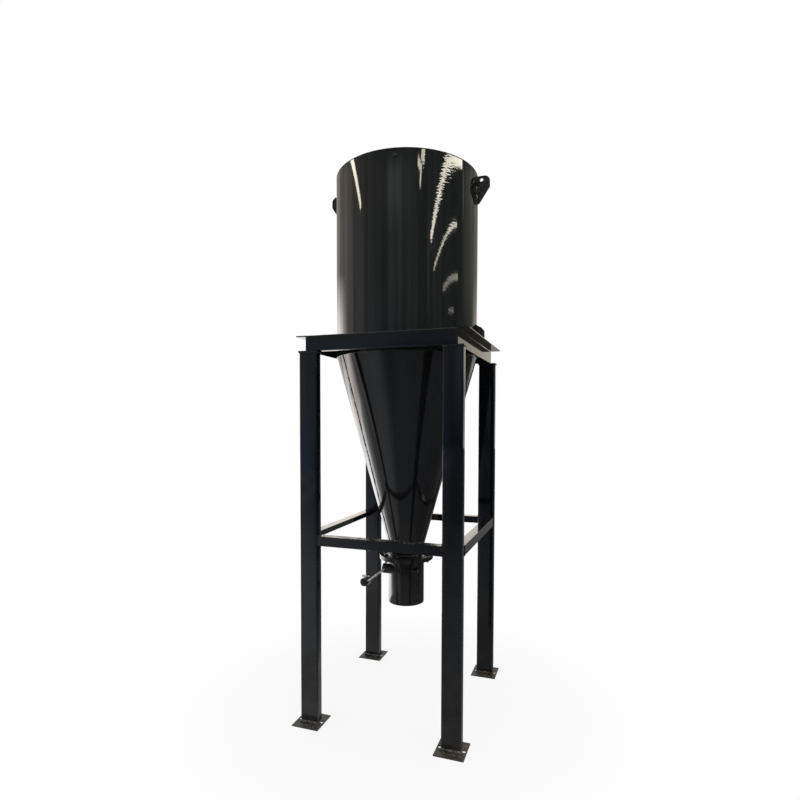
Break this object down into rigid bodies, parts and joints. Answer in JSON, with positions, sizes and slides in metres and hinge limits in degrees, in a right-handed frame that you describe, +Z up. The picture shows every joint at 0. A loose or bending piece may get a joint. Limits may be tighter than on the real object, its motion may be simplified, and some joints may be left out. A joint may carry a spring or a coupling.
{
  "type": "cyclone separator on a stand",
  "caption": "Sheet-steel cyclone dust separator with drum, cone and counterweighted flap valve, carried in a tubular steel stand on base plates.",
  "frame": {"origin": "on the floor under the drum's axis, in the middle of the anchor holes", "axes": "+Z up along the drum's axis, +X to the right and +Y to the back as the picture sees it, the flap valve's lever to the front on the -X side"},
  "size_m": [0.932, 1.042, 2.995],
  "materials": {
    "black_paint_drum": "gloss black paint on rolled sheet, slightly wavy",
    "black_paint_stand": "gloss black paint on rolled sections",
    "black_paint_valve": "black paint, semi-gloss",
    "dusty_black_paint": "black paint under workshop dust, with weld spatter",
    "zinc_steel": "bright zinc-plated steel"
  },
  "bodies": {
    "separator": {"back_beam": "black_paint_stand", "back_brace": "black_paint_stand", "back_left_base_plate": "dusty_black_paint", "back_left_leg": "black_paint_stand", "back_left_leg_cap": "black_paint_stand", "back_right_base_plate": "dusty_black_paint", "back_right_leg": "black_paint_stand", "back_right_leg_cap": "black_paint_stand", "cone": "black_paint_drum", "cone_flange": "black_paint_valve", "discharge_pipe": "black_paint_valve", "drum_shell": "black_paint_drum", "front_beam": "black_paint_stand", "front_brace": "black_paint_stand", "front_left_base_plate": "dusty_black_paint", "front_left_leg": "black_paint_stand", "front_left_leg_cap": "black_paint_stand", "front_right_base_plate": "dusty_black_paint", "front_right_leg": "black_paint_stand", "front_right_leg_cap": "black_paint_stand", "inlet_duct": "black_paint_drum", "inlet_flange": "black_paint_drum", "left_bearing": "black_paint_valve", "left_brace": "black_paint_stand", "left_lifting_lug": "black_paint_drum", "left_side_angle": "black_paint_stand", "left_support_ear": "black_paint_drum", "outlet_flange": "black_paint_drum", "outlet_pipe": "black_paint_drum", "right_bearing": "black_paint_valve", "right_brace": "black_paint_stand", "right_lifting_lug": "black_paint_drum", "right_side_angle": "black_paint_stand", "right_support_ear": "black_paint_drum", "seat_ring": "black_paint_valve", "top_plate": "black_paint_drum", "valve_flange": "black_paint_valve"},
    "flap_valve": {"lever_rod": "zinc_steel", "flap": "black_paint_valve", "counterweight": "black_paint_valve", "clamp_screw": "zinc_steel"}
  },
  "joints": [
    {"name": "flap_swing", "type": "hinge", "parent": "separator", "child": "flap_valve", "pos_m": [0, -0.07, 0.752], "axis": [-1, 0, 0], "range_deg": [0, 45]}
  ]
}
